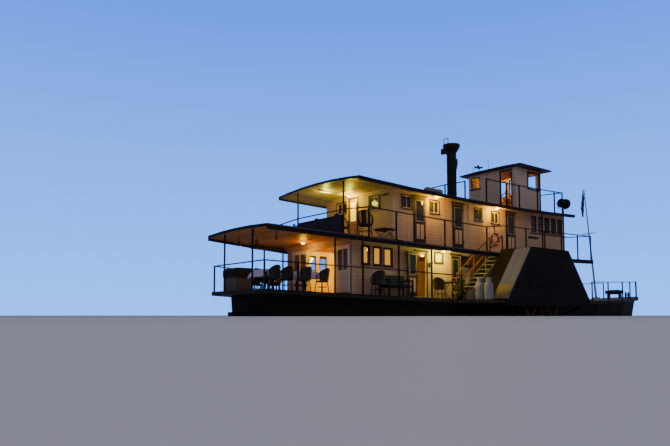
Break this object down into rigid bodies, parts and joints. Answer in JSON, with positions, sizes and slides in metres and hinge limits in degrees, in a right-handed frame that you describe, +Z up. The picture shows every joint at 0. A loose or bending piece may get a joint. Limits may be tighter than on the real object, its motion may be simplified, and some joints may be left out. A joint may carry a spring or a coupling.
{
  "type": "paddle steamer",
  "caption": "Side-wheel paddle steamer with a black hull, cream cabins on two decks, wheelhouse, tall funnel and open aft dining deck.",
  "frame": {"origin": "amidships on the centreline at the water's surface", "axes": "+X to the bow, +Y to port, +Z up"},
  "size_m": [29.76, 9.2, 9.448],
  "materials": {
    "hull_black": "weathered semi-gloss black paint",
    "deck_wood": "weathered planks",
    "paddle_box_boards": "painted boards",
    "red_iron": "matt oxide paint",
    "machinery_iron": "painted iron",
    "cream_boards": "painted weatherboards",
    "white_door": "painted satin",
    "brown_joinery": "varnished",
    "roof_trim": "painted deck and fascia",
    "railing_black": "gloss black paint",
    "funnel_black": "heat-dulled black paint",
    "varnished_wood": "varnished",
    "navy_board": "satin paint",
    "pale_steel": "satin paint",
    "mast_paint": "painted spar"
  },
  "bodies": {
    "vessel": {"hull": "hull_black", "main_deck": "deck_wood", "sponson_starboard": "hull_black", "paddle_box_starboard": "paddle_box_boards", "stairs_starboard": "varnished_wood", "sponson_port": "hull_black", "paddle_box_port": "paddle_box_boards", "stairs_port": "varnished_wood", "boiler": "machinery_iron", "engine": "machinery_iron", "main_cabin_wall_starboard": "cream_boards", "main_cabin_wall_port": "cream_boards", "main_cabin_wall_aft": "cream_boards", "main_cabin_wall_forward": "cream_boards", "upper_deck_aft": "roof_trim", "upper_deck_middle": "roof_trim", "upper_deck_forward": "roof_trim", "upper_cabin_wall_starboard": "cream_boards", "upper_cabin_wall_port": "cream_boards", "upper_cabin_wall_aft": "cream_boards", "upper_cabin_wall_forward": "cream_boards", "upper_roof": "roof_trim", "wheelhouse_walls": "cream_boards", "wheelhouse_roof": "roof_trim", "helm_stand": "varnished_wood", "funnel": "funnel_black", "main_deck_railing": "railing_black", "upper_deck_railing": "railing_black", "top_deck_railing": "railing_black", "foredeck_railing_starboard": "railing_black", "foredeck_railing_port": "railing_black", "stern_board": "navy_board", "searchlight": "funnel_black", "mast": "mast_paint", "windlass": "machinery_iron", "dining_table_1": "varnished_wood", "dining_table_2": "varnished_wood", "dining_table_3": "varnished_wood", "dining_table_4": "varnished_wood", "deck_locker": "pale_steel", "side_bench": "varnished_wood", "gas_bottle_1": "pale_steel", "gas_bottle_2": "pale_steel"},
    "paddle_wheels": {"paddle_wheels": "red_iron"},
    "passage_door_starboard": {"passage_door_starboard": "brown_joinery"},
    "galley_door_starboard": {"galley_door_starboard": "brown_joinery"},
    "passage_door_port": {"passage_door_port": "brown_joinery"},
    "galley_door_port": {"galley_door_port": "brown_joinery"},
    "saloon_door_starboard": {"saloon_door_starboard": "white_door"},
    "saloon_door_port": {"saloon_door_port": "white_door"},
    "aft_cabin_door_starboard": {"aft_cabin_door_starboard": "brown_joinery"},
    "middle_cabin_door_starboard": {"middle_cabin_door_starboard": "brown_joinery"},
    "forward_cabin_door_starboard": {"forward_cabin_door_starboard": "brown_joinery"},
    "aft_cabin_door_port": {"aft_cabin_door_port": "brown_joinery"},
    "middle_cabin_door_port": {"middle_cabin_door_port": "brown_joinery"},
    "forward_cabin_door_port": {"forward_cabin_door_port": "brown_joinery"},
    "helm_wheel": {"helm_wheel": "varnished_wood"},
    "rudder": {"rudder": "hull_black"}
  },
  "joints": [
    {"name": "paddle_spin", "type": "hinge", "parent": "vessel", "child": "paddle_wheels", "pos_m": [-1.5, 0, 1], "axis": [0, 1, 0], "continuous": true},
    {"name": "rudder_turn", "type": "hinge", "parent": "vessel", "child": "rudder", "pos_m": [-13.66, 0, 0], "axis": [0, 0, 1], "range_deg": [-35, 35]},
    {"name": "helm_turn", "type": "hinge", "parent": "vessel", "child": "helm_wheel", "pos_m": [1.8, 0, 6.08], "axis": [1, 0, 0], "range_deg": [-350, 350]},
    {"name": "aft_cabin_hinge_starboard", "type": "hinge", "parent": "vessel", "child": "aft_cabin_door_starboard", "pos_m": [-6.6, -2.115, 0], "axis": [0, 0, 1], "range_deg": [0, 100]},
    {"name": "middle_cabin_hinge_starboard", "type": "hinge", "parent": "vessel", "child": "middle_cabin_door_starboard", "pos_m": [-4.2, -2.115, 0], "axis": [0, 0, 1], "range_deg": [0, 100]},
    {"name": "forward_cabin_hinge_starboard", "type": "hinge", "parent": "vessel", "child": "forward_cabin_door_starboard", "pos_m": [-0.4, -2.115, 0], "axis": [0, 0, 1], "range_deg": [0, 100]},
    {"name": "passage_hinge_starboard", "type": "hinge", "parent": "vessel", "child": "passage_door_starboard", "pos_m": [-7.2, -2.115, 0], "axis": [0, 0, 1], "range_deg": [0, 174]},
    {"name": "galley_hinge_starboard", "type": "hinge", "parent": "vessel", "child": "galley_door_starboard", "pos_m": [-5.03, -2.025, 0], "axis": [0, 0, 1], "range_deg": [0, 95]},
    {"name": "aft_cabin_hinge_port", "type": "hinge", "parent": "vessel", "child": "aft_cabin_door_port", "pos_m": [-6.6, 2.115, 0], "axis": [0, 0, 1], "range_deg": [-100, 0]},
    {"name": "middle_cabin_hinge_port", "type": "hinge", "parent": "vessel", "child": "middle_cabin_door_port", "pos_m": [-4.2, 2.115, 0], "axis": [0, 0, 1], "range_deg": [-100, 0]},
    {"name": "forward_cabin_hinge_port", "type": "hinge", "parent": "vessel", "child": "forward_cabin_door_port", "pos_m": [-0.4, 2.115, 0], "axis": [0, 0, 1], "range_deg": [-100, 0]},
    {"name": "passage_hinge_port", "type": "hinge", "parent": "vessel", "child": "passage_door_port", "pos_m": [-7.2, 2.115, 0], "axis": [0, 0, 1], "range_deg": [-174, 0]},
    {"name": "galley_hinge_port", "type": "hinge", "parent": "vessel", "child": "galley_door_port", "pos_m": [-5.03, 2.025, 0], "axis": [0, 0, 1], "range_deg": [-95, 0]},
    {"name": "saloon_hinge_starboard", "type": "hinge", "parent": "vessel", "child": "saloon_door_starboard", "pos_m": [-10.615, -1.27, 0], "axis": [0, 0, 1], "range_deg": [-172, 0]},
    {"name": "saloon_hinge_port", "type": "hinge", "parent": "vessel", "child": "saloon_door_port", "pos_m": [-10.615, 0.57, 0], "axis": [0, 0, 1], "range_deg": [0, 172]}
  ],
  "couplings": [
    {"joint": "helm_turn", "follows": "rudder_turn", "ratio": 10}
  ]
}
